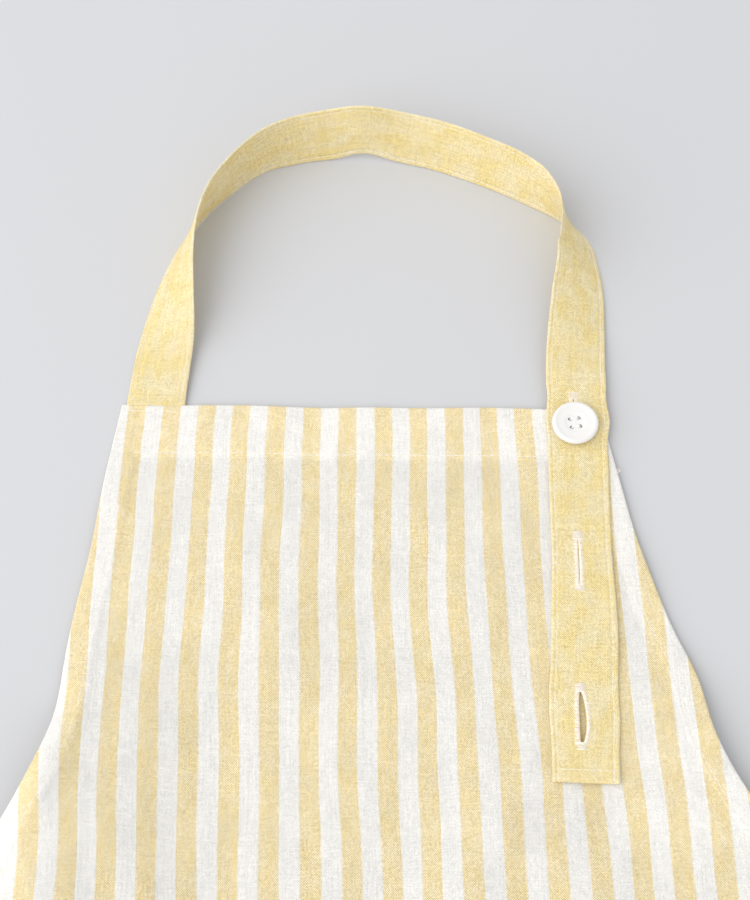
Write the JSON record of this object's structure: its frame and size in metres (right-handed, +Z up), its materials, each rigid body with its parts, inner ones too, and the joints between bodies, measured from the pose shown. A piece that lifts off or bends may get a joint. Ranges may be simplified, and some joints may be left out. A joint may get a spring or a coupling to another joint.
{
  "type": "bib apron",
  "caption": "Striped bib apron laid out flat, with a curved chambray neck strap that buttons on over the bib and folded waist ties.",
  "frame": {"origin": "middle of the laid-out apron's footprint, on the surface it lies on", "axes": "+Z up out of the cloth's front side, +Y from the bottom hem towards the neck strap, +X towards the buttoned side"},
  "size_m": [0.824, 1.008, 0.0298],
  "materials": {
    "striped_cotton": "matte woven cotton, white and pale yellow stripes",
    "chambray": "matte woven cotton, yellow warp with white weft",
    "sewing_thread": "twisted thread with a low sheen",
    "button_plastic": "polished white"
  },
  "bodies": {
    "skirt": {"skirt_panel": "striped_cotton", "waist_hem_left": "striped_cotton", "waist_hem_right": "striped_cotton", "side_hem_left": "striped_cotton", "side_hem_right": "striped_cotton", "side_stitching_left": "sewing_thread", "side_stitching_right": "sewing_thread", "bottom_hem": "striped_cotton", "bottom_stitching": "sewing_thread", "tie_end_left": "chambray", "tie_end_right": "chambray", "tie_box_stitch_left": "sewing_thread", "tie_box_stitch_right": "sewing_thread"},
    "bib": {"bib_panel": "striped_cotton", "bib_top_hem": "striped_cotton", "top_hem_stitching": "sewing_thread", "armhole_hem_left": "striped_cotton", "armhole_hem_right": "striped_cotton", "armhole_stitching_left": "sewing_thread", "armhole_stitching_right": "sewing_thread", "strap_anchor": "chambray", "anchor_stitching": "sewing_thread", "strap_tab": "chambray", "buttonhole_stitching_1": "sewing_thread"},
    "neck_loop": {"neck_strap_loop": "chambray"},
    "strap_free_end": {"strap_tail": "chambray", "buttonhole_stitching_2": "sewing_thread", "buttonhole_stitching_3": "sewing_thread"},
    "shank": {"button_shank": "sewing_thread"},
    "button_face": {"button": "button_plastic", "button_thread": "sewing_thread"},
    "tie_left": {"waist_tie_left": "chambray"},
    "tie_right": {"waist_tie_right": "chambray"}
  },
  "joints": [
    {"name": "bib_fold", "type": "hinge", "parent": "skirt", "child": "bib", "pos_m": [0, 0.09338, 0.0015], "axis": [1, 0, 0], "range_deg": [0, 105]},
    {"name": "neck_loop_fold", "type": "hinge", "parent": "bib", "child": "neck_loop", "pos_m": [0, 0.35898, 0.0018], "axis": [1, 0, 0], "range_deg": [0, 75]},
    {"name": "strap_tail_lift", "type": "hinge", "parent": "bib", "child": "strap_free_end", "pos_m": [0.09396, 0.32135, 0.0026], "axis": [-0.9979, 0.0645, 0], "range_deg": [0, 90]},
    {"name": "shank_tilt", "type": "hinge", "parent": "bib", "child": "shank", "pos_m": [0.0939, 0.34058, 0.0022], "axis": [1, 0, 0], "range_deg": [-5, 5], "stiffness_Nm_per_rad": 0.02},
    {"name": "button_twist", "type": "hinge", "parent": "shank", "child": "button_face", "pos_m": [0.0939, 0.34058, 0.0047], "axis": [0, 0, 1], "range_deg": [-30, 30], "stiffness_Nm_per_rad": 0.005},
    {"name": "tie_right_unfold", "type": "hinge", "parent": "skirt", "child": "tie_right", "pos_m": [0.397, 0.04998, 0.00095], "axis": [-0.7071, 0.7071, 0], "range_deg": [0, 175]},
    {"name": "tie_left_unfold", "type": "hinge", "parent": "skirt", "child": "tie_left", "pos_m": [-0.397, 0.04998, 0.00095], "axis": [-0.7071, -0.7071, 0], "range_deg": [0, 175]}
  ]
}
